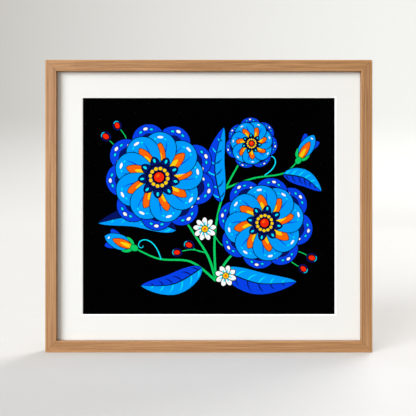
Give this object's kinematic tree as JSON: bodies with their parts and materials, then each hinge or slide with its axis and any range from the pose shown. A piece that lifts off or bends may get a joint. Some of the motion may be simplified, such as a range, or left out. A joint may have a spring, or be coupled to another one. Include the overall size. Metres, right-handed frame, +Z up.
{
  "type": "framed print",
  "caption": "Wood-framed print for a wall: mitred rails, clear glazing, a white bevel-cut mat round a colourful print on black, a hardboard back and a sawtooth hanger.",
  "frame": {"origin": "the middle notch of the sawtooth hanger, on the wall plane: the point that the wall's nail carries", "axes": "+X to the right along the frame's width, +Y from the picture back to the wall, +Z up. The picture faces -Y"},
  "size_m": [0.65, 0.028, 0.581],
  "materials": {
    "oak": "light oak, fine straight grain along each rail, thin satin lacquer",
    "clear_acrylic": "clear acrylic sheet with a low-reflection coat",
    "mat_board": "warm white mat board, matt, with a bright white core at the bevel",
    "printed_paper": "matt art paper printed black, with flat bright colours",
    "hardboard": "brown pressed hardboard, matt, finely mottled",
    "zinc_steel": "zinc-plated sheet steel, satin",
    "grey_rubber": "dark grey soft rubber, matt"
  },
  "bodies": {
    "root": {"rail_top": "oak", "rail_bottom": "oak", "rail_left": "oak", "rail_right": "oak", "glazing": "clear_acrylic", "mat_board": "mat_board", "print_sheet": "printed_paper", "backing_board": "hardboard", "tab_top_1": "zinc_steel", "tab_top_2": "zinc_steel", "tab_top_3": "zinc_steel", "tab_bottom_1": "zinc_steel", "tab_bottom_2": "zinc_steel", "tab_bottom_3": "zinc_steel", "tab_left_1": "zinc_steel", "tab_left_2": "zinc_steel", "tab_right_1": "zinc_steel", "tab_right_2": "zinc_steel", "sawtooth_hanger": "zinc_steel", "hanger_screw_left": "zinc_steel", "hanger_screw_right": "zinc_steel", "bumper_left": "grey_rubber", "bumper_right": "grey_rubber"}
  },
  "joints": []
}
